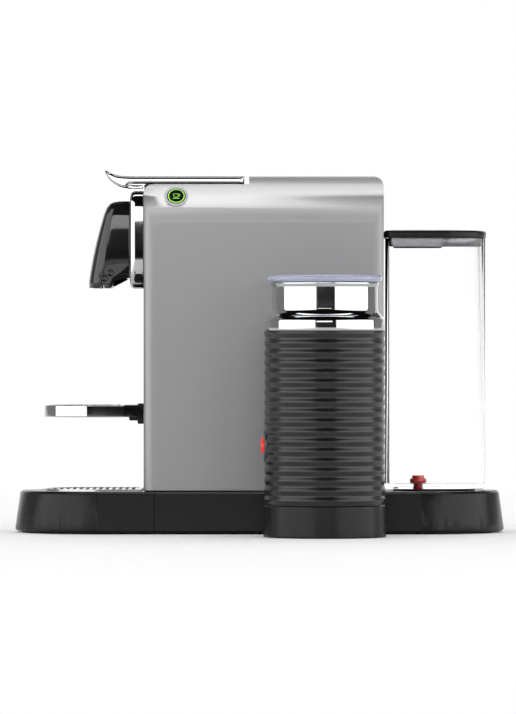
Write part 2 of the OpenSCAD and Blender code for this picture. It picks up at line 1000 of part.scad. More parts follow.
function wave_r(u) = sleeve_r - rib_depth * (1 + cos(360 * u)) / 2;

module frother_sleeve() {
    color("#161617") at_frother() difference() {
        rotate_extrude() polygon([
            [jug_r + 0.3, sleeve_z],
            for (k = [0 : wave_steps * rib_count + wave_steps / 2])
                [wave_r(k / wave_steps), sleeve_z + k / wave_steps * wave_pitch],
            [sleeve_r, sleeve_top - 0.01],
            [jug_r + 0.3, sleeve_top - 0.01]
        ]);
        rod_x(-60, -20, 0, frother_button_z, 11.5);
    }
}

module frother_jug() {
    r = jug_r;
    t = jug_wall;
    color("#d6d7d9") at_frother() rotate_extrude() polygon([
        [0, jug_floor - t], [r, jug_floor - t], [r, sleeve_top], [44.8, sleeve_top],
        [44.8, 160.2], [44.2, 162.5], [42.8, 164.6], [41.2, 166], [40.1, 167.6],
        [neck_r, 169.8], [neck_r, neck_top],
        [neck_r - t, neck_top], [neck_r - t, 168.6], [r - t, 163], [r - t, jug_floor],
        [1.6, jug_floor], [1.6, 92], [0, 92]
    ]);
}

module frother_base() {
    color("#1a1a1c") at_frother() union() {
        ring_z(sleeve_z, 27, 4, jug_r);
        ring_z(27, 38, 17, 19);
    }
}

module frother_motor() {
    color("#7b7e84") at_frother() union() {
        rod_z(0, 0, 27, 60, 16.8);
        rod_z(0, 0, 60, 66, 6);
        rod_z(0, 0, 66, 78, 2);
    }
}

module frother_button() {
    color("#d8211f") at_frother() union() {
        rod_x(-sleeve_r - 2.3, -41, 0, frother_button_z, 5.6);
        rod_x(-41, -34, 0, frother_button_z, 3);
    }
}

module frother_bezel() {
    color("#232325") at_frother() difference() {
        intersection() {
            rod_x(-60, -jug_r + 1, 0, frother_button_z, 11.4);
            rod_z(0, 0, 40, 100, sleeve_r + 0.4);
        }
        rod_x(-60, -30, 0, frother_button_z, 5.8);
        rod_z(0, 0, 40, 100, jug_r + 0.1);
    }
}

module frother_lid() {
    edge = lid_t / 2;
    mid = neck_top + 0.4 + edge;
    color([0.55, 0.62, 0.7, 0.6]) at_frother() rotate_extrude() polygon([
        [0, mid - edge],
        for (a = [-90 : 15 : 90]) [lid_r - edge + edge * cos(a), mid + edge * sin(a)],
        [0, mid + edge]
    ]);
}

module frother_lid_seal() {
    color("#2a2b2d") at_frother() ring_z(183, neck_top + 0.4, 33.5, neck_r - jug_wall - 0.2);
}

module whisk() {
    color("#b8babd") at_frother() union() {
        ring_z(jug_floor + 1, jug_floor + 10, 1.68, 3.2);
        translate([0, 0, jug_floor + 4]) rotate_extrude() translate([12, 0]) circle(1.6);
        for (a = [0, 90, 180, 270]) rotate([0, 0, a])
            block(2.6, 12, -0.8, 0.8, jug_floor + 3.2, jug_floor + 4.8);
    }
}

// ---------- pieces ----------

base_housing();
base_plate();
base_feet();
base_screws();
cord_gland();
tray_shell();
tray_feet();
drip_grid();
capsule_bin();
bin_fascia();
cup_rest_bracket();
cup_rest_pin();
cup_rest_frame();
cup_rest_grid();
side_panel_left();
side_panel_right();
top_cover();
rear_spine();
chassis();
top_deck();
front_collar();
head_cover();
coffee_outlet();
pierce_plate();
brew_frame();
lever_shaft();
lever_handle();
lever_underside();
lever_cams();
brew_carriage();
capsule_cage();
carriage_pin();
button_bezels();
espresso_button();
espresso_ring();
lungo_button();
lungo_ring();
pump();
pump_mounts();
thermoblock();
flow_meter();
water_hoses();
control_board();
tank_seat();
tank_gasket();
tank_vessel();
tank_lid();
tank_lid_ring();
tank_valve();
frother_dock();
dock_stator();
frother_sleeve();
frother_jug();
frother_base();
frother_motor();
frother_button();
frother_bezel();
frother_lid();
frother_lid_seal();
whisk();
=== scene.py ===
import json
import math

import bmesh
import bpy
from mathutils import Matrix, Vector


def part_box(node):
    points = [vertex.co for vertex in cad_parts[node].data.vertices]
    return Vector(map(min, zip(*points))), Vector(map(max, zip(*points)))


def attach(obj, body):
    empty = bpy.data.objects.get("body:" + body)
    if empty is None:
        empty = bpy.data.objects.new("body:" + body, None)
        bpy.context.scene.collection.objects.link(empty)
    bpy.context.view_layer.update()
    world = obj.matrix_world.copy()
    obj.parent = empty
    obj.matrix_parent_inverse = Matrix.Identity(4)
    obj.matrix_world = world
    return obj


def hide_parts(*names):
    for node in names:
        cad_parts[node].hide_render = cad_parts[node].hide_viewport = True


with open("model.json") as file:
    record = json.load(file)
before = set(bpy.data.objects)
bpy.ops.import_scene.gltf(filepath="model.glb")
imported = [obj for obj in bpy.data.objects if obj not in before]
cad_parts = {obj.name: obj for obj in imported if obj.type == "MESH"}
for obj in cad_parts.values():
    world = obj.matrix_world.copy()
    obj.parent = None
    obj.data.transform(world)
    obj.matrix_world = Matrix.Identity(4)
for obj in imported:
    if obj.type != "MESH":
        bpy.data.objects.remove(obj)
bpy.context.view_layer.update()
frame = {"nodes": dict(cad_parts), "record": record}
nodes = frame["nodes"]

MM = 0.001


# ---------------------------------------------------------------- where things are

def span(node):
    """Lowest and highest corner of a CAD node."""
    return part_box(node)


panel_lo = span("side_panel_left")[0]
far_hi = span("side_panel_right")[1]
sleeve_lo, sleeve_hi = span("frother_sleeve")
lever_lo, lever_hi = span("lever_handle")
collar_lo, collar_hi = span("front_collar")

MID_Y = (panel_lo.y + far_hi.y) / 2
FROTHER_X = (sleeve_lo.x + sleeve_hi.x) / 2
FROTHER_Y = (sleeve_lo.y + sleeve_hi.y) / 2


# ---------------------------------------------------------------- camera, light and floor

def make_camera():
    """A long lens, level, square to the side of the machine."""
    distance = 4.84
    height = 0.1467
    data = bpy.data.cameras.new("camera")
    data.sensor_fit = "AUTO"
    data.sensor_width = 36.0
    data.lens = 319.2
    data.shift_y = -0.0238
    data.clip_end = 50
    camera = bpy.data.objects.new("camera", data)
    camera.location = (-0.0012, MID_Y - distance, height)
    camera.rotation_euler = (math.radians(90), 0, 0)
    bpy.context.collection.objects.link(camera)
    bpy.context.scene.camera = camera


def area_light(name, place, target, size, glow, mirrored=True):
    """Soft box. Glow is its brightness; mirrored says whether polished parts show it."""
    data = bpy.data.lights.new(name, "AREA")
    data.shape = "RECTANGLE"
    data.size, data.size_y = size
    data.energy = 4 * glow * size[0] * size[1]
    light = bpy.data.objects.new(name, data)
    light.visible_glossy = mirrored
    light.visible_camera = False
    light.location = place
    light.rotation_euler = (Vector(target) - Vector(place)).to_track_quat("-Z", "Y").to_euler()
    bpy.context.collection.objects.link(light)
    return light


def stage_piece(name, verts, faces):
    """Part of the floor or the backdrop, not of the machine."""
    mesh = bpy.data.meshes.new(name)
    mesh.from_pydata(verts, [], faces)
    for polygon in mesh.polygons:
        polygon.use_smooth = True
    piece = bpy.data.objects.new(name, mesh)
    bpy.context.collection.objects.link(piece)
    mesh.materials.append(stage_material())
    return piece


def make_stage():
    """Round pale floor, and a wider one that runs up behind it, which the camera doesn't see."""
    reach = 2.1
    sides = 128
    rim = [(reach * math.cos(2 * math.pi * i / sides), MID_Y + reach * math.sin(2 * math.pi * i / sides), 0.0)
           for i in range(sides)]
    stage_piece("floor", rim, [range(sides)])
    width = 9.0
    front = -3.4
    back = 5.7
    radius = 1.2
    steps = 16
    under = 0.0005
    outline = [(front, -under)]
    for i in range(steps + 1):
        a = math.radians(90) * i / steps
        outline.append((back - radius + radius * math.sin(a), radius - radius * math.cos(a) - under))
    outline.append((back, 5.0))
    verts = [(x, y, z) for y, z in outline for x in (-width / 2, width / 2)]
    surround = stage_piece("surround", verts,
                           [(2 * i, 2 * i + 1, 2 * i + 3, 2 * i + 2) for i in range(len(outline) - 1)])
    surround.visible_camera = False


def make_world():
    world = bpy.data.worlds.new("studio")
    world.use_nodes = True
    background = world.node_tree.nodes["Background"]
    background.inputs["Color"].default_value = (1, 1, 1, 1)
    background.inputs["Strength"].default_value = 0.006
    # seen directly or through clear parts the room is plain white; polished parts see it dark
    tree = world.node_tree
    bright = tree.nodes.new("ShaderNodeBackground")
    bright.inputs["Color"].default_value = (1, 1, 1, 1)
    bright.inputs["Strength"].default_value = 1.0
    ray = tree.nodes.new("ShaderNodeLightPath")
    either = tree.nodes.new("ShaderNodeMath")
    either.operation = "MAXIMUM"
    tree.links.new(ray.outputs["Is Camera Ray"], either.inputs[0])
    tree.links.new(ray.outputs["Is Transmission Ray"], either.inputs[1])
    blend = tree.nodes.new("ShaderNodeMixShader")
    tree.links.new(either.outputs[0], blend.inputs[0])
    tree.links.new(background.outputs[0], blend.inputs[1])
    tree.links.new(bright.outputs[0], blend.inputs[2])
    tree.links.new(blend.outputs[0], tree.nodes["World Output"].inputs["Surface"])
    bpy.context.scene.world = world
    bpy.context.scene.view_settings.view_transform = "Standard"


def make_lights():
    """Two wide boxes with a dark gap between them, dim wings, a low box over the camera, and overhead fills."""
    for name, turn, far, size, glow in (
            ("left_box", -57, 2.2, (3.7, 1.4), 2.2), ("right_box", 63, 2.2, (3.9, 1.4), 2.2),
            ("left_wing", -117, 2.0, (1.3, 1.8), 0.28), ("right_wing", 122, 2.0, (1.1, 1.8), 0.28)):
        a = math.radians(turn)
        place = (far * math.sin(a), MID_Y - far * math.cos(a), size[1] / 2 - 0.1)
        area_light(name, place, (0, MID_Y, place[2]), size, glow)
    area_light("brow_box", (0, MID_Y - 3.0, 0.46), (0, MID_Y, 0.15), (1.5, 0.27), 4.0)
    ceiling = 2.4
    area_light("shoulder_strip", (0, MID_Y - 0.1, ceiling), (0, MID_Y - 0.1, 0), (3.0, 0.4), 3.0)
    paint_box = area_light("paint_box", (0, MID_Y - 1.4, 2.1), (0, MID_Y, 0.15), (3.0, 1.6), 5.0)
    # the two paint lights reach only the painted panels and cover
    painted = bpy.data.collections.new("painted")
    for node in ("side_panel_left", "side_panel_right", "top_cover"):
        painted.objects.link(nodes[node])
    paint_top = area_light("paint_top", (0, MID_Y + 0.1, ceiling), (0, MID_Y + 0.1, 0), (3.0, 1.5), 3.0)
    for light in (paint_box, paint_top):
        light.light_linking.receiver_collection = painted
    # fills that polished parts don't show, and a box for the surround
    area_light("top_box", (0.0, MID_Y + 0.3, ceiling), (0, MID_Y + 0.3, 0), (3.4, 3.0), 0.42, False)
    area_light("floor_box", (0.0, MID_Y - 2.1, ceiling), (0, MID_Y - 2.1, 0), (3.4, 1.6), 0.85, False)
    area_light("back_box", (0.0, 4.4, 2.6), (0, 5.7, 0.6), (8.0, 0.8), 4.0)
    area_light("rear_box", (0.0, 2.9, 2.6), (0, 2.9, 0), (7.0, 2.2), 1.5, False)


# ---------------------------------------------------------------- materials

def node_material(name, colour=(0.5, 0.5, 0.5), metallic=0.0, roughness=0.5):
    """A material with its Principled shader, ready for texture nodes."""
    material = bpy.data.materials.new(name)
    material.use_nodes = True
    shader = material.node_tree.nodes["Principled BSDF"]
    shader.inputs["Base Color"].default_value = (*colour, 1)
    shader.inputs["Metallic"].default_value = metallic
    shader.inputs["Roughness"].default_value = roughness
    return material, shader


def noise(material, scale, detail=4.0, rough=0.5, stretch=None):
    """Noise on the object's own coordinates, in metres."""
    tree = material.node_tree
    place = tree.nodes.new("ShaderNodeTexCoord")
    texture = tree.nodes.new("ShaderNodeTexNoise")
    texture.inputs["Scale"].default_value = scale
    texture.inputs["Detail"].default_value = detail
    texture.inputs["Roughness"].default_value = rough
    if stretch:
        mapping = tree.nodes.new("ShaderNodeMapping")
        mapping.inputs["Scale"].default_value = stretch
        tree.links.new(place.outputs["Object"], mapping.inputs["Vector"])
        tree.links.new(mapping.outputs["Vector"], texture.inputs["Vector"])
    else:
        tree.links.new(place.outputs["Object"], texture.inputs["Vector"])
    return texture.outputs["Fac"]


def vary(material, shader, socket, source, low, high):
    """The socket runs from low to high with the texture."""
    tree = material.node_tree
    spread = tree.nodes.new("ShaderNodeMapRange")
    spread.inputs["From Min"].default_value = 0.3
    spread.inputs["From Max"].default_value = 0.7
    spread.inputs["To Min"].default_value = low
    spread.inputs["To Max"].default_value = high
    tree.links.new(source, spread.inputs["Value"])
    tree.links.new(spread.outputs["Result"], shader.inputs[socket])


def vary_colour(material, shader, source, low, high):
    tree = material.node_tree
    ramp = tree.nodes.new("ShaderNodeValToRGB")
    ramp.color_ramp.elements[0].position = 0.3
    ramp.color_ramp.elements[0].color = (*low, 1)
    ramp.color_ramp.elements[1].position = 0.7
    ramp.color_ramp.elements[1].color = (*high, 1)
    tree.links.new(source, ramp.inputs["Fac"])
    tree.links.new(ramp.outputs["Color"], shader.inputs["Base Color"])


def bump(material, shader, source, strength, distance):
    tree = material.node_tree
    node = tree.nodes.new("ShaderNodeBump")
    node.inputs["Strength"].default_value = strength
    node.inputs["Distance"].default_value = distance
    tree.links.new(source, node.inputs["Height"])
    tree.links.new(node.outputs["Normal"], shader.inputs["Normal"])


def shade(colour, factor):
    return tuple(min(1.0, c * factor) for c in colour)


def plastic(name, colour, roughness, grain=0.12, grain_size=2400.0, coat=0.0, gloss=0.5):
    """Moulded plastic: fine spark-eroded grain, slightly uneven gloss and colour."""
    material, shader = node_material(name, colour, 0.0, roughness)
    fine = noise(material, grain_size, 2.0, 0.6)
    cloud = noise(material, 18.0, 3.0, 0.5)
    bump(material, shader, fine, grain, 0.00008)
    vary(material, shader, "Roughness", cloud, roughness * 0.88, roughness * 1.12)
    vary_colour(material, shader, cloud, shade(colour, 0.9), shade(colour, 1.12))
    shader.inputs["Specular IOR Level"].default_value = gloss
    shader.inputs["Coat Weight"].default_value = coat
    shader.inputs["Coat Roughness"].default_value = 0.03
    return material


def metal(name, colour, roughness, spread=0.35, grain=0.0, stretch=None, scale=30.0):
    """Metal with a little uneven polish, and brushing where stretch is given."""
    material, shader = node_material(name, colour, 1.0, roughness)
    cloud = noise(material, scale, 4.0, 0.6, stretch)
    vary(material, shader, "Roughness", cloud, roughness * (1 - spread), roughness * (1 + spread))
    vary_colour(material, shader, cloud, shade(colour, 0.96), shade(colour, 1.03))
    if grain:
        bump(material, shader, cloud, grain, 0.00005)
    return material


def silver_paint():
    """Metallic paint: bright flakes under a satin coat."""
    colour = (0.205, 0.206, 0.208)
    material, shader = node_material("silver_paint", colour, 0.8, 0.47)
    flakes = noise(material, 5200.0, 2.0, 0.7)
    cloud = noise(material, 9.0, 2.0, 0.5)
    vary_colour(material, shader, flakes, shade(colour, 0.9), shade(colour, 1.08))
    vary(material, shader, "Roughness", cloud, 0.44, 0.5)
    bump(material, shader, flakes, 0.05, 0.00004)
    shader.inputs["Coat Weight"].default_value = 0.25
    shader.inputs["Coat Roughness"].default_value = 0.12
    return material


def clear_plastic(name, colour, roughness, ior=1.45, clear=1.0):
    material, shader = node_material(name, colour, 0.0, roughness)
    shader.inputs["Transmission Weight"].default_value = clear
    shader.inputs["IOR"].default_value = ior
    haze = noise(material, 60.0, 3.0, 0.5)
    vary(material, shader, "Roughness", haze, roughness, roughness + 0.02)
    vary_colour(material, shader, haze, shade(colour, 0.985), colour)
    return material


def lit(name, colour, glow, strength, roughness=0.3):
    material, shader = node_material(name, colour, 0.0, roughness)
    cloud = noise(material, 900.0, 2.0, 0.5)
    vary_colour(material, shader, cloud, shade(colour, 0.9), shade(colour, 1.1))
    shader.inputs["Emission Color"].default_value = (*glow, 1)
    shader.inputs["Emission Strength"].default_value = strength
    return material


def stage_material():
    material, shader = node_material("stage_white", (0.93, 0.93, 0.93), 0.0, 0.9)
    cloud = noise(material, 2.0, 2.0, 0.5)
    vary_colour(material, shader, cloud, (0.925, 0.925, 0.925), (0.935, 0.935, 0.935))
    shader.inputs["Specular IOR Level"].default_value = 0.1
    return material


def make_materials():
    return {
        "base_plastic": plastic("base_plastic", (0.005, 0.005, 0.0052), 0.28, grain=0.04, gloss=0.22),
        "silver_paint": silver_paint(),
        "chrome_trim": metal("chrome_trim", (0.43, 0.435, 0.44), 0.05),
        "gloss_black": plastic("gloss_black", (0.008, 0.008, 0.009), 0.06, grain=0.0),
        "dark_trim": plastic("dark_trim", (0.03, 0.031, 0.033), 0.2, grain=0.03, coat=0.3),
        "rubber_black": plastic("rubber_black", (0.02, 0.02, 0.02), 0.75, 0.3, 1500.0),
        "steel": metal("steel", (0.36, 0.36, 0.365), 0.24, stretch=(1, 30, 30), grain=0.1),
        "inner_plastic": plastic("inner_plastic", (0.09, 0.09, 0.095), 0.5),
        "bezel_grey": plastic("bezel_grey", (0.42, 0.41, 0.44), 0.4),
        "lit_green": lit("lit_green", (0.2, 0.5, 0.05), (0.35, 0.85, 0.08), 0.7),
        "lit_ring": lit("lit_ring", (0.7, 0.8, 0.6), (0.85, 1.0, 0.7), 1.1),
        "aluminium_cast": metal("aluminium_cast", (0.55, 0.56, 0.57), 0.45, grain=0.3, scale=700.0),
        "hose_silicone": plastic("hose_silicone", (0.7, 0.69, 0.65), 0.35, 0.05),
        "meter_plastic": plastic("meter_plastic", (0.68, 0.66, 0.58), 0.45),
        "board_green": plastic("board_green", (0.02, 0.12, 0.05), 0.3, 0.2, 500.0),
        "clear_plastic": clear_plastic("clear_plastic", (0.99, 0.992, 0.995), 0.0, 1.12),
        "lid_black": plastic("lid_black", (0.005, 0.005, 0.0055), 0.26, grain=0.05, gloss=0.22),
        "ring_grey": metal("ring_grey", (0.13, 0.13, 0.135), 0.25),
        "valve_red": plastic("valve_red", (0.42, 0.02, 0.015), 0.3, 0.04),
        "sleeve_black": plastic("sleeve_black", (0.005, 0.005, 0.0052), 0.26, 0.04, 1800.0, gloss=0.42),
        "jug_steel": metal("jug_steel", (0.43, 0.432, 0.435), 0.08),
        "copper_coil": metal("copper_coil", (0.6, 0.28, 0.14), 0.3, stretch=(1, 1, 60), grain=0.3),
        "button_red": lit("button_red", (0.62, 0.02, 0.015), (0.9, 0.03, 0.02), 0.35),
        "lid_tint": clear_plastic("lid_tint", (0.74, 0.77, 0.93), 0.03, 1.45, 0.72),
    }


materials = make_materials()
slot_of = {part["node"]: part["material_slot"] for part in frame["record"]["subparts"]}


# ---------------------------------------------------------------- mesh helpers

def link(name, mesh, slot, body, replaced=(), smooth_angle=35.0):
    """A finished mesh becomes a piece that rides on a body and stands for CAD nodes."""
    piece = bpy.data.objects.new(name, mesh)
    bpy.context.collection.objects.link(piece)
    mesh.materials.append(materials[slot])
    shade_smooth(piece, smooth_angle)
    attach(piece, body)
    if replaced:
        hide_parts(*replaced)
    even = piece.modifiers.new("normals", "WEIGHTED_NORMAL")
    even.keep_sharp = True
    return piece


def shade_smooth(piece, angle=35.0):
    """Smooth shading, with edges sharper than the angle kept crisp."""
    mesh = piece.data
    for polygon in mesh.polygons:
        polygon.use_smooth = True
    form = bmesh.new()
    form.from_mesh(mesh)
    limit = math.radians(angle)
    for edge in form.edges:
        if len(edge.link_faces) == 2 and edge.calc_face_angle(0) > limit:
            edge.smooth = False
    form.to_mesh(mesh)
    form.free()


def mesh_from(name, verts, faces):
    mesh = bpy.data.meshes.new(name)
    mesh.from_pydata([tuple(v) for v in verts], [], faces)
    form = bmesh.new()
    form.from_mesh(mesh)
    bmesh.ops.remove_doubles(form, verts=form.verts, dist=1e-6)
    bmesh.ops.recalc_face_normals(form, faces=form.faces)
    form.to_mesh(mesh)
    form.free()
    return mesh


def lathe(name, profile, centre, turns=144, closed=True):
    """Turned shape: profile points are (radius, height), centre is (x, y)."""
    cx, cy = centre
    count = len(profile)
    verts = []
    for i in range(turns):
        a = 2 * math.pi * i / turns
        verts += [(cx + r * math.cos(a), cy + r * math.sin(a), z) for r, z in profile]
    faces = []
    stretches = count if closed else count - 1
    for i in range(turns):
        j = (i + 1) % turns
        for k in range(stretches):
            m = (k + 1) % count
            faces.append((i * count + k, j * count + k, j * count + m, i * count + m))
    return mesh_from(name, verts, faces)


def arc(cx, cz, r, start, end, steps):
    """Points on an arc, angles in degrees."""
    points = []
    for i in range(steps + 1):
        a = math.radians(start + (end - start) * i / steps)
        points.append((cx + r * math.cos(a), cz + r * math.sin(a)))
    return points


def bevel(piece, width, segments=3, angle=30.0):
    modifier = piece.modifiers.new("edges", "BEVEL")
    modifier.width = width
    modifier.segments = segments
    modifier.limit_method = "ANGLE"
    modifier.angle_limit = math.radians(angle)
    modifier.harden_normals = True
    modifier.use_clamp_overlap = True
    return modifier


def dress_cad(node, width):
    """A CAD node that stays: clean faces, its own material, and soft edges except on the side panels."""
    piece = nodes[node]
    piece.data.materials.clear()
    piece.data.materials.append(materials[slot_of[node]])
    weld = piece.modifiers.new("weld", "WELD")
    weld.merge_threshold = 1e-6
    flat = piece.modifiers.new("flat", "DECIMATE")
    flat.decimate_type = "DISSOLVE"
    flat.angle_limit = math.radians(0.8)
    if node.startswith("side_panel"):
        even = piece.modifiers.new("normals", "WEIGHTED_NORMAL")
        even.keep_sharp = True
    else:
        bevel(piece, width, 2, 32.0)


# ---------------------------------------------------------------- shapes

def at(x, y, z):
    """Point in metres from millimetres off the machine's mid-plane."""
    return (x * MM, MID_Y + y * MM, z * MM)


def side_name(side):
    """The camera looks at the near side."""
    return "near" if side < 0 else "far"


def smooth_step(low, high, value):
    t = min(1.0, max(0.0, (value - low) / (high - low)))
    return t * t * (3 - 2 * t)


def follow(points, value):
    """Straight interpolation through (key, value) points."""
    if value <= points[0][0]:
        return points[0][1]
    for (a, u), (b, v) in zip(points, points[1:]):
        if value <= b:
            return u + (v - u) * (value - a) / (b - a)
    return points[-1][1]


def curve_through(points, steps=6):
    """Smooth open curve through points, Catmull-Rom."""
    out = []
    last = len(points) - 1
    for i in range(last):
        p0, p1 = points[max(0, i - 1)], points[i]
        p2, p3 = points[i + 1], points[min(last, i + 2)]
        for k in range(steps):
            t = k / steps
            out.append(tuple(
                0.5 * (2 * b + (c - a) * t + (2 * a - 5 * b + 4 * c - d) * t * t
                       + (3 * b - a - 3 * c + d) * t ** 3)
                for a, b, c, d in zip(p0, p1, p2, p3)))
    out.append(points[-1])
    return out


def loft(name, rings, caps=True):
    """Skin through closed rings that all have the same number of points."""
    count = len(rings[0])
    verts = [point for ring in rings for point in ring]
    faces = []
    for i in range(len(rings) - 1):
        for k in range(count):
            m = (k + 1) % count
            faces.append((i * count + k, i * count + m, (i + 1) * count + m, (i + 1) * count + k))
    if caps:
        faces.append(tuple(range(count)))
        faces.append(tuple((len(rings) - 1) * count + k for k in range(count)))
    return mesh_from(name, verts, faces)


def inset_outline(outline, amount):
    """Closed 2-D outline drawn in along its own normals."""
    if not amount:
        return outline
    count = len(outline)
    area = sum(outline[i][0] * outline[(i + 1) % count][1]
               - outline[(i + 1) % count][0] * outline[i][1] for i in range(count))
    turn = 1 if area > 0 else -1
    out = []
    for i in range(count):
        ax, az = outline[i - 1]
        bx, bz = outline[(i + 1) % count]
        dx, dz = bx - ax, bz - az
        size = math.hypot(dx, dz) or 1.0
        out.append((outline[i][0] - turn * dz / size * amount,
                    outline[i][1] + turn * dx / size * amount))
    return out


def round_box_outline(x0, x1, y0, y1, r, steps=6):
    """Closed outline of a rectangle with round corners, anticlockwise from lower right."""
    points = []
    for cx, cy, start in ((x1 - r, y0 + r, -90), (x1 - r, y1 - r, 0),
                          (x0 + r, y1 - r, 90), (x0 + r, y0 + r, 180)):
        points += arc(cx, cy, r, start, start + 90, steps)
    return points


def dense(outline, longest):
    """Closed outline with long stretches split up."""
    out = []
    for i, (ax, az) in enumerate(outline):
        bx, bz = outline[(i + 1) % len(outline)]
        parts = max(1, math.ceil(math.hypot(bx - ax, bz - az) / longest))
        out += [(ax + (bx - ax) * k / parts, az + (bz - az) * k / parts) for k in range(parts)]
    return out


# ---------------------------------------------------------------- lever

LEAN = 0.02


def lever_piece(name, outline, half, edge, draw_back, slot, replaced):
    """Plate with a side view, round long edges and round front corners."""
    outline = dense(outline, 4.0)
    tip = min(x for x, _ in outline)
    foot = min(z for _, z in outline)
    at_tip = min(range(len(outline)), key=lambda i: outline[i])
    upper = sorted(outline[:at_tip + 1])
    lower = outline[at_tip:at_tip + 30]
    rings = []
    stations = [-half + edge * (1 - math.cos(math.radians(a))) for a in (0, 22, 45, 67, 90)]
    insets = [edge * (1 - math.sin(math.radians(a))) for a in (0, 22, 45, 67, 90)]
    inner = [-half + edge + (draw_back + 4 - edge) * k / 8 for k in range(1, 9)]
    line = list(zip(stations, insets)) + [(y, 0.0) for y in inner] + [(-half * 0.3, 0.0)]
    line += [(-y, i) for y, i in reversed(line)]
    for y, inset in line:
        over = max(0.0, abs(y) - (half - draw_back))
        back = draw_back - math.sqrt(max(0.0, draw_back ** 2 - over ** 2)) if draw_back else 0.0
        drawn = inset_outline(outline, inset)
        ring = []
        wall = tip + back
        for i, ((x, z), (u, w)) in enumerate(zip(outline, drawn)):
            near = max(x, wall)
            most = 0.42 * (follow(upper, near) - follow(lower, near)) if draw_back else inset
            round_in = min(inset, most)
            share = round_in / inset if inset else 0.0
            x, z = x + (u - x) * share, z + (w - z) * share
            if draw_back:
                e = min(edge, most)
                d = min(e, near - wall)
                drop = max(round_in, e - math.sqrt(max(0.0, e * e - (e - d) ** 2)))
                if x < wall or drop > round_in:
                    x = near
                    z = follow(upper, x) - drop if i <= at_tip else follow(lower, x) + drop
            ring.append((x, z))
        rings.append([at(x, y * (1 - LEAN * (z - foot) / half), z) for x, z in ring])
    mesh = loft(name, rings)
    return link(name, mesh, slot, "lever", replaced, 50.0)


def make_lever():
    top = (lever_hi.z / MM) - 5.2
    under = lever_lo.z / MM
    rear = lever_hi.x / MM
    front = lever_lo.x / MM
    upper = curve_through([
        (rear, top), (rear - 40, top), (-94, top), (-100, top + 0.1), (-105.5, top + 0.45),
        (-109.5, top + 1.25), (-112.8, top + 2.4), (-115.4, top + 3.8), (front + 0.7, top + 5.0),
    ], 5)
    nose = [(front + 0.15, top + 4.9), (front, top + 4.2), (front + 0.15, top + 3.4)]
    lower = curve_through([
        (front + 0.9, top + 1.4), (-114.7, top - 1.8), (-111.9, top - 4.7), (-109.0, top - 6.7),
        (-105.7, top - 8.2), (-102.5, top - 9.0), (-101.2, top - 9.15),
    ], 5)
    step = [(-100.6, top - 8.4), (-100.2, top - 6.6), (-99.2, under)]
    outline = upper + nose + lower + step + [(-60, under), (rear, under)]
    lever_piece("lever_top", outline, 35.0, 2.3, 9.0, "chrome_trim", ("lever_handle",))
    foot = top - 9.6
    plate = curve_through([
        (-101.0, top - 9.1), (-98.5, foot), (-94.5, foot - 0.05), (-89.4, foot),
    ], 5)
    plate += [(-88.5, foot + 0.5), (-88.5, under - 1.4), (-89.2, under - 0.9), (-99.4, under - 0.7),
              (-100.4, under - 2.2)]
    lever_piece("lever_palm_plate", plate, 31.0, 0.9, 0.0, "chrome_trim", ("lever_underside",))


# ---------------------------------------------------------------- front collar and head

def swell(z):
    """How far the sides draw in above and below their flat middle."""
    high = max(0.0, z - 236.0) / 23.6
    low = max(0.0, 216.0 - z) / 30.0
    return 0.9 * high ** 2 + 2.2 * low ** 2


def collar_ring(inset):
    """End view of the collar: round corners and sides that swell a little."""
    low, high = collar_lo.z / MM + inset, collar_hi.z / MM - inset
    half = 49.5 - inset
    r = max(2.0, 10 - inset)
    ring = dense(round_box_outline(-half, half, low, high, r, 8), 3.0)
    return [(y * (1 - swell(z) / half), z) for y, z in ring]


def make_collar():
    front, back = collar_lo.x / MM, panel_lo.x / MM - 0.1
    edge = 4.2
    rings = []
    outer = [(front + edge * (1 - math.cos(math.radians(a))), edge * (1 - math.sin(math.radians(a))))
             for a in (0, 15, 30, 45, 60, 75, 90)]
    outer += [(front + 7, 0.0), (back - 0.4, 0.0), (back, 0.4)]
    bore = 24.0
    mid_z = 222.0
    base = collar_ring(outer[0][1])
    angles = [math.atan2(z - mid_z, y) for y, z in base]

    def hole(x, r):
        return [at(x, r * math.cos(a), mid_z + r * math.sin(a)) for a in angles]

    rings.append(hole(back, bore))
    rings.append(hole(front + 0.6, bore))
    rings.append(hole(front, bore + 0.6))
    for x, inset in outer:
        rings.append([at(x, y, z) for y, z in collar_ring(inset)])
    rings.append(hole(back, bore))
    mesh = loft("collar", rings, caps=False)
    link("collar", mesh, "chrome_trim", "machine", ("front_collar",), 50.0)
    # small framed window low on each side
    for side in (-1, 1):
        x0, x1, z0, z1 = front + 3.3, back - 0.3, 190.0, 199.6
        frame_outer = round_box_outline(x0, x1, z0, z1, 1.6, 5)
        frame_inner = round_box_outline(x0 + 1.2, x1 - 0.7, z0 + 1.2, z1 - 1.2, 1.0, 5)
        y = side * 48.0
        rows = []
        for outline, off in ((frame_outer, 0.2), (inset_outline(frame_outer, 0.3), 0.75),
                             (inset_outline(frame_inner, -0.2), 0.75), (frame_inner, 0.3)):
            rows.append([at(x, y + side * off, z) for x, z in outline])
        rim = loft("window_frame", rows, caps=False)
        link("window_frame_%s" % side_name(side), rim, "chrome_trim", "machine")
        pane = loft("window_pane", [
            [at(x, y + side * 0.1, z) for x, z in frame_inner],
            [at(x, y + side * 0.55, z) for x, z in frame_inner],
            [at(x, y + side * 0.6, z) for x, z in inset_outline(frame_inner, 0.3)],
        ])
        link("window_pane_%s" % side_name(side), pane, "gloss_black", "machine")


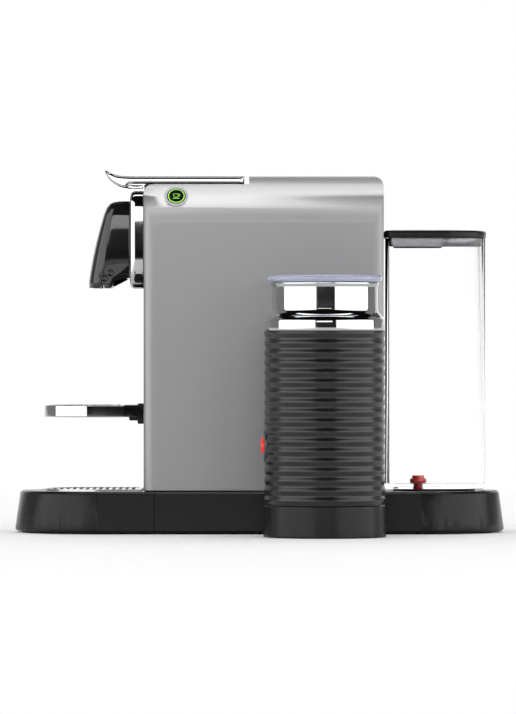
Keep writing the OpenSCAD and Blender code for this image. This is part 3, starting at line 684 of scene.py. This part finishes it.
HEAD_SLICES = (
    # height, front edge, half width, depth of the corners
    (186.2, -130.1, 33.4, 19), (190, -130.6, 33.8, 19), (196.4, -129.8, 34, 18),
    (207.9, -127.8, 34, 17), (219.3, -125.4, 34, 15), (230.8, -122.5, 34, 13),
    (242.3, -119.2, 33.9, 11), (247.4, -117.2, 33.4, 10), (250.2, -115.1, 32.4, 9),
    (251.5, -112.9, 31.0, 7.5), (252.1, -110.0, 28.8, 6),
)


def head_point(t, share, z):
    """Point on the head cover: t runs round the front, share runs back along a side."""
    front = follow([(s[0], s[1]) for s in HEAD_SLICES], z)
    half = follow([(s[0], s[2]) for s in HEAD_SLICES], z)
    deep = follow([(s[0], s[3]) for s in HEAD_SLICES], z)
    half -= swell(z + 4.0) if z > 219 else min(1.2, swell(z))
    side_x = front + deep
    if share > 0:
        return side_x + (collar_lo.x / MM - 0.2 - side_x) * share, math.copysign(half, t)
    c = abs(math.cos(t)) ** 0.5
    q = abs(math.sin(t)) ** 0.5
    return side_x - deep * c, math.copysign(half * q, t)


def head_foot(x):
    """Lowest edge of the cover at each place along it."""
    return 186.2 + 17.6 * smooth_step(-121.0, -118.2, x) + 2.2 * smooth_step(-118.0, -99.0, x)


def make_head():
    columns = [(-math.pi / 2, s / 12) for s in range(12, 0, -1)]
    around = 72
    columns += [(-math.pi / 2 + math.pi * k / around, 0) for k in range(around + 1)]
    columns += [(math.pi / 2, s / 12) for s in range(1, 13)]
    levels = 46
    verts = []
    for t, share in columns:
        foot_x, _ = head_point(t, share, 196.0)
        foot = head_foot(foot_x)
        for k in range(levels + 1):
            u = k / levels
            z = foot + (252.1 - foot) * (1 - (1 - u) ** 1.6)
            x, y = head_point(t, share, z)
            verts.append(at(x, y, z))
    rows = levels + 1
    faces = []
    for i in range(len(columns) - 1):
        for k in range(levels):
            faces.append((i * rows + k, (i + 1) * rows + k, (i + 1) * rows + k + 1, i * rows + k + 1))
    # flat top, drawn together towards its middle line
    half = len(columns) // 2
    for i in range(half):
        j = len(columns) - 1 - i
        a, b = i * rows + levels, (i + 1) * rows + levels
        c, d = (j - 1) * rows + levels, j * rows + levels
        faces.append((a, b, c, d) if b != c else (a, b, d))
    mesh = mesh_from("head", verts, faces)
    piece = link("head_shell", mesh, "gloss_black", "machine", ("head_cover",), 40.0)
    shell = piece.modifiers.new("wall", "SOLIDIFY")
    shell.thickness = 2.2 * MM
    shell.offset = -1
    bevel(piece, 0.0004, 2, 40)
    # satin inner housing with dimples, and the black chin round the outlet
    front = curve_through([(-121.0, 188.5), (-120.4, 198.0), (-118.5, 206.0)], 5)
    body = front + [(-99.0, 209.0), (-98.6, 200.0), (-98.6, 197.0), (-106.0, 196.4), (-111.0, 193.6),
                    (-113.6, 188.5)]
    for_sides = dense(body, 2.0)
    rings = []
    for y, inset in ((-31.2, 0.8), (-31.9, 0.25), (-32.1, 0.0), (32.1, 0.0), (31.9, 0.25), (31.2, 0.8)):
        rings.append([at(x, y, z) for x, z in inset_outline(for_sides, inset)])
    housing = loft("outlet_housing", rings)
    link("outlet_housing", housing, "dark_trim", "machine", (), 30.0)
    for side in (-1, 1):
        for x, z in ((-118.0, 193.6), (-113.4, 197.6)):
            turns = 28
            rings = []
            for r, off in ((2.7, 0.0), (2.5, 0.35), (2.1, 0.42), (1.8, 0.2), (0.5, 0.05)):
                rings.append([at(x + r * math.cos(2 * math.pi * k / turns),
                                 side * (31.25 + off + 0.1),
                                 z + r * math.sin(2 * math.pi * k / turns)) for k in range(turns)])
            peg = loft("peg", rings)
            link("peg_%s_%d" % (side_name(side), round(-x)), peg, "gloss_black", "machine")
    chin = curve_through([
        (-98.5, 205.0), (-103.0, 200.5), (-107.5, 196.8), (-111.0, 194.2), (-113.2, 190.4),
        (-114.0, 186.4),
    ], 5)
    chin += curve_through([
        (-112.4, 186.3), (-111.6, 188.6), (-109.8, 191.2), (-106.5, 192.4), (-102.5, 193.2),
        (-98.5, 193.7),
    ], 5)
    chin = dense(chin, 2.0)
    rings = []
    for y, inset in ((-31.7, 1.0), (-32.4, 0.35), (-32.6, 0.0), (32.6, 0.0), (32.4, 0.35), (31.7, 1.0)):
        rings.append([at(x, y, z) for x, z in inset_outline(chin, inset)])
    link("outlet_chin", loft("outlet_chin", rings), "gloss_black", "machine", (), 35.0)


# ---------------------------------------------------------------- cup rest and tank lid

def make_cup_rest():
    """Polished band with a round front, and two arms that end round the hinge."""
    lo, hi = span("cup_rest_frame")
    low, high = lo.z / MM, hi.z / MM
    half = hi.y / MM - MID_Y / MM
    centre = lo.x / MM + half
    outline = [(-103.0, half)] + arc(centre, 0, half, 90, 270, 72) + [(-103.0, -half)]
    outline = dense(outline, 3.0)

    def ring(inset, z):
        return [at(x, y, z) for x, y in inset_outline(outline, inset)]

    rings = [ring(3.4, low)]
    rings += [ring(0.8 - r, low + 0.8 + z) for r, z in arc(0, 0, 0.8, -90, 0, 5)]
    rings += [ring(0.8 - r, high - 0.8 + z) for r, z in arc(0, 0, 0.8, 0, 90, 5)]
    rings += [ring(3.4, high), ring(3.4, low)]
    link("cup_band", loft("cup_band", rings, caps=False), "chrome_trim", "cup_rest",
         ("cup_rest_frame",), 50.0)
    pin_lo, pin_hi = span("cup_rest_pin")
    x = (pin_lo.x + pin_hi.x) / 2 / MM
    z = (pin_lo.z + pin_hi.z) / 2 / MM
    reach = max(24.0, (pin_hi.y - MID_Y) / MM + 0.2)
    side_view = [(-105.0, low), (x, low)] + arc(x, z, 4.5, -85, 85, 18) + [(x, high), (-105.0, high)]
    side_view = dense(side_view, 3.0)
    for side in (-1, 1):
        rows = []
        for y, inset in ((14.8, 0.5), (15.3, 0.0), (reach - 0.6, 0.0), (reach - 0.2, 0.2), (reach, 0.6)):
            rows.append([at(u, side * y, w) for u, w in inset_outline(side_view, inset)])
        name = "cup_arm_%s" % side_name(side)
        link(name, loft(name, rows), "gloss_black", "cup_rest", (), 50.0)


def make_tank_lid():
    """One slab with a soft edge, a little crowned."""
    lo, hi = span("tank_lid")
    x0, x1 = lo.x / MM, hi.x / MM
    half = hi.y / MM - MID_Y / MM
    low, high = lo.z / MM, hi.z / MM
    small, big = 6.8, 34.8
    outline = arc(x1 - big, half - big, big, 0, 90, 24)
    outline += arc(x0 + small, half - small, small, 90, 180, 8)
    outline += arc(x0 + small, small - half, small, 180, 270, 8)
    outline += arc(x1 - big, big - half, big, 270, 360, 24)
    outline = dense(outline, 4.0)

    def ring(inset, z):
        return [at(x, y, z) for x, y in inset_outline(outline, inset)]

    crown = 0.35
    rings = [ring(1.0, low), ring(0.3, low + 0.2), ring(0.0, low + 0.9)]
    rings += [ring(2.0 - r, high - crown - 2.0 + z) for r, z in arc(0, 0, 2.0, 0, 80, 7)]
    rings += [ring(5.0, high - 0.2), ring(6.5, high)]
    link("lid_slab", loft("lid_slab", rings), "lid_black", "tank_cover", ("tank_lid",), 40.0)


# ---------------------------------------------------------------- frother

def make_frother():
    centre = (FROTHER_X, FROTHER_Y)
    low, high = sleeve_lo.z, sleeve_hi.z
    outer = (sleeve_hi.x - sleeve_lo.x) / 2
    # sleeve with soft waves that end on a crest
    waves = 17
    depth = 0.8 * MM
    top_wave = 0.148
    pitch = (top_wave - low) / waves
    profile = [(outer - depth - 0.5 * MM, low + 0.02 * MM)]
    steps = 14
    for k in range(waves * steps + steps // 2 + 1):
        z = low + 0.15 * MM + k / steps * pitch * 0.999
        profile.append((outer - depth * (1 + math.cos(2 * math.pi * k / steps)) / 2, z))
    profile += [(outer, high - 0.9 * MM)]
    profile += [(outer - 0.6 * MM + r, high - 0.6 * MM + z) for r, z in
                arc(0, 0, 0.6 * MM, 0, 90, 5)]
    inner = outer - 3.6 * MM
    profile += [(inner, high), (inner, low + 0.02 * MM)]
    link("sleeve", lathe("sleeve", profile, centre, 180), "sleeve_black", "frother",
         ("frother_sleeve",), 50.0)
    # drawn steel jug
    top = span("frother_jug")[1].z / MM
    neck, wide, body = 39.6, 44.8, 41.0
    shoulder = curve_through([
        (wide, 157.0), (wide, 160.4), (44.5, 162.0), (43.4, 163.9), (41.9, 165.3),
        (40.8, 166.6), (40.0, 168.2), (39.65, 169.6), (neck, 170.6), (neck, 172.5),
    ], 6)
    outside = [(0.0, 78.5), (39.0, 78.5), (40.4, 79.0), (body, 80.4), (body, 152.6), (41.3, 153.3),
               (wide - 0.7, 153.6), (wide - 0.2, 153.8), (wide, 154.4)]
    lip = [(neck, top - 3.4), (neck + 0.25, top - 2.6), (neck + 0.7, top - 1.9), (neck + 0.8, top - 1.2)]
    lip += [(neck + 0.3 + r, top - 0.5 + z) for r, z in arc(0, 0, 0.5, 0, 90, 4)]
    inside = [(neck - 1.2, top), (neck - 1.5, top - 0.4), (neck - 1.5, 170.0), (39.6, 165.0),
              (39.5, 160.0), (39.5, 84.0), (38.6, 81.4), (36.0, 80.0), (1.6, 80.0), (1.6, 91.6),
              (1.2, 92.0), (0.0, 92.0)]
    profile = [(r * MM, z * MM) for r, z in outside + shoulder + lip + inside]
    link("jug", lathe("jug", profile, centre, 180, closed=False), "jug_steel", "frother",
         ("frother_jug",), 40.0)
    # lid: a thick clear disc with a full round edge
    lid_lo, lid_hi = span("frother_lid")
    r = (lid_hi.x - lid_lo.x) / 2
    edge = (lid_hi.z - lid_lo.z) / 2
    mid = (lid_hi.z + lid_lo.z) / 2
    rim = arc(r - edge, mid, edge, -90, 90, 16)
    flat = r - 9 * MM
    profile = [(0.0, mid - edge), (flat, mid - edge)] + rim + [(flat, mid + edge), (0.0, mid + edge)]
    link("lid_disc", lathe("lid_disc", profile, centre, 180, closed=False), "lid_tint",
         "frother_cover", ("frother_lid",), 40.0)
    # dock: turned plinth
    dock_lo, dock_hi = span("frother_dock")
    foot = (dock_hi.x - dock_lo.x) / 2
    h = dock_hi.z
    slim = foot - 0.8 * MM
    profile = [(0.0, 0.0003), (foot - 2.2 * MM, 0.0003), (foot - 2.0 * MM, 0.0), (foot - 1.0 * MM, 0.0)]
    profile += arc(foot - 1.0 * MM, 1.0 * MM, 1.0 * MM, -90, -5, 6)
    profile += [(foot - 0.02 * MM, 2.2 * MM), (slim, h - 1.2 * MM)]
    profile += arc(slim - 1.0 * MM, h - 1.0 * MM, 1.0 * MM, 5, 90, 6)
    profile += [(0.0, h)]
    link("dock_plinth", lathe("dock_plinth", profile, centre, 180, closed=False), "base_plastic",
         "machine", ("frother_dock",), 40.0)
    # neck between the plinth and the base
    reach = dock_hi.y - FROTHER_Y
    ring = [(-22.0, 1.6), (-22.0, 14.5)] + [(-22.0 + 4 - 4 * math.cos(math.radians(a)),
                                            14.5 + 4 * math.sin(math.radians(a))) for a in (20, 45, 70, 90)]
    ring += [(-px, z) for px, z in reversed(ring)]
    rows = [[(FROTHER_X + px * MM, FROTHER_Y + y * MM, z * MM) for px, z in dense(ring, 4.0)]
            for y in (42.0, 50.0, reach / MM - 5.4)]
    link("dock_neck", loft("dock_neck", rows), "base_plastic", "machine", (), 35.0)


# ---------------------------------------------------------------- buttons

def make_button_marks():
    """A dark face, a lit rim and a small cup in thin raised lines on each button."""
    for cap, ring in (("espresso_button", "espresso_ring"), ("lungo_button", "lungo_ring")):
        lo, hi = span(ring)
        centre = (lo + hi) / 2
        side = -1 if centre.y < MID_Y else 1
        # how far the buttons look up, as in the CAD
        tilt = math.radians(34.3)
        out = Vector((0, side * math.cos(tilt), math.sin(tilt)))
        across = Vector((1, 0, 0))
        up = out.cross(across) * (1 if side > 0 else -1)
        if up.z < 0:
            up = -up
        body = "espresso_key" if cap == "espresso_button" else "lungo_key"
        base = centre + out * (0.7 * MM)

        def disc(name, profile, slot, glow=None):
            turns = 64
            rings = [[base + out * (h * MM) + (across * math.cos(2 * math.pi * k / turns)
                      + up * math.sin(2 * math.pi * k / turns)) * (r * MM) for k in range(turns)]
                     for r, h in profile]
            piece = link(name, loft(name, rings), slot, body, (), 50.0)
            if glow:
                piece.data.materials[0] = materials[glow]

        disc("face_" + cap, [(5.6, -0.3), (5.6, 0.15), (5.3, 0.3), (3.0, 0.36), (0.4, 0.38)], "gloss_black")
        disc("rim_" + cap, [(6.3, -0.35), (6.3, 0.02), (6.1, 0.1), (5.7, 0.1), (5.5, 0.0)],
             "lit_ring", "lit_green")
        face = base + out * (0.42 * MM)
        spread = 1.15 * MM
        curve = bpy.data.curves.new("cup_mark", "CURVE")
        curve.dimensions = "3D"
        curve.bevel_depth = 0.2 * MM
        curve.bevel_resolution = 2
        cup = [(-1.9, 1.3), (-1.7, -0.5), (-1.0, -1.4), (0.6, -1.4), (1.2, -0.5), (1.4, 1.3)]
        handle = [(1.3, 0.9), (2.3, 0.8), (2.3, -0.3), (1.2, -0.4)]
        saucer = [(-2.3, -2.2), (2.0, -2.2)]
        for line, closed in ((cup, True), (handle, False), (saucer, False)):
            spline = curve.splines.new("POLY")
            spline.points.add(len(line) - 1)
            for point, (u, v) in zip(spline.points, line):
                place = face + across * (u * spread) + up * (v * spread)
                point.co = (*place, 1)
            spline.use_cyclic_u = closed
        mark = bpy.data.objects.new("cup_mark", curve)
        bpy.context.collection.objects.link(mark)
        mesh = bpy.data.meshes.new_from_object(mark.evaluated_get(bpy.context.evaluated_depsgraph_get()))
        bpy.data.objects.remove(mark)
        mark = link("mark_" + cap, mesh, "lit_ring", body, (), 60.0)
        mark.data.materials[0] = materials["lit_green"]


# ---------------------------------------------------------------- build

# CAD nodes that a visual piece stands for
KEEP_OFF = {"cup_rest_frame", "tank_lid", "frother_sleeve", "frother_jug", "frother_lid", "frother_dock",
            "lever_handle", "lever_underside", "front_collar", "head_cover"}
SOFT_EDGES = {"tank_vessel": 0.0006, "base_housing": 0.0006, "tray_shell": 0.0006, "top_cover": 0.0005,
              "cup_rest_bracket": 0.0008, "drip_grid": 0.0003, "bin_fascia": 0.0005}

make_camera()
make_world()
make_stage()
make_lights()
make_lever()
make_collar()
make_head()
make_cup_rest()
make_tank_lid()
make_frother()
make_button_marks()
for node in nodes:
    if node not in KEEP_OFF:
        dress_cad(node, SOFT_EDGES.get(node, 0.0004))
